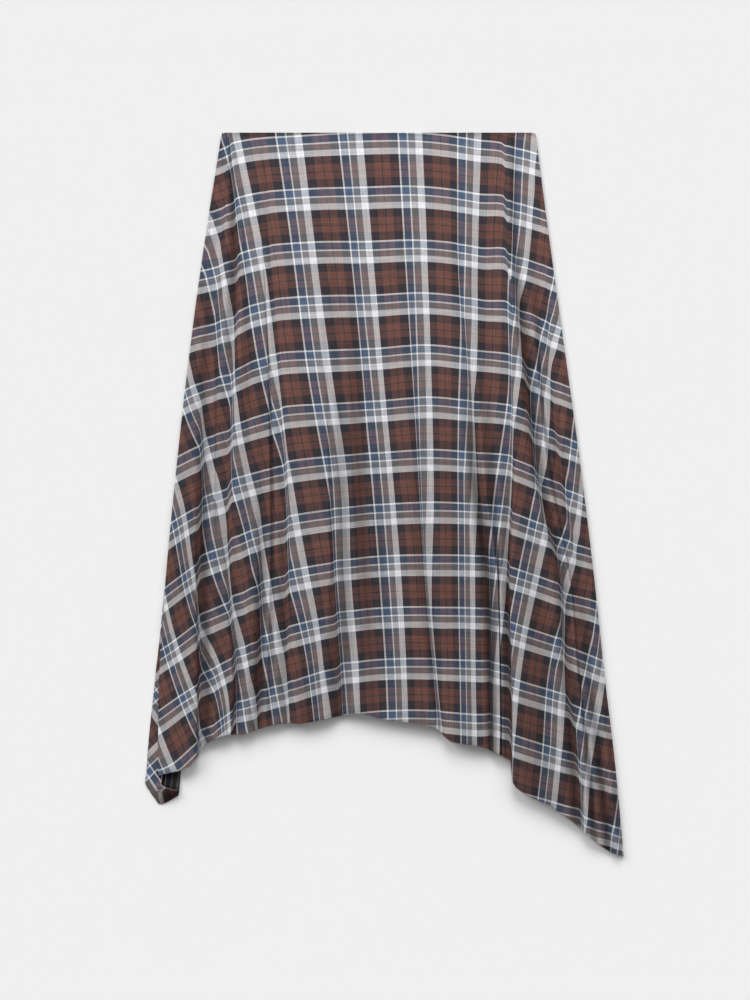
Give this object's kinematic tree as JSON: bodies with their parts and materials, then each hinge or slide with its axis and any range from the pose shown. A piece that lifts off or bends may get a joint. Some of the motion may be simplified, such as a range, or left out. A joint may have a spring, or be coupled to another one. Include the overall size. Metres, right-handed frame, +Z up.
{
  "type": "midi skirt laid flat",
  "caption": "Flared midi skirt with a pointed, uneven hem, laid flat: a smooth back panel with a softly folded front panel lying on it.",
  "frame": {"origin": "centre of the bounding box on the surface that the skirt lies on", "axes": "+Y points from the hem to the waist, +X to the right of someone who looks down on the front with the waist at the top, +Z up out of the surface"},
  "size_m": [0.5513, 0.8346, 0.0164],
  "materials": {
    "front_cloth": "thin yarn-dyed plaid cotton in brown, black, navy and white, matte",
    "back_cloth": "thin yarn-dyed plaid cotton in brown, black, navy and white, matte"
  },
  "bodies": {
    "root": {"front_panel": "front_cloth", "back_panel": "back_cloth"}
  },
  "joints": []
}
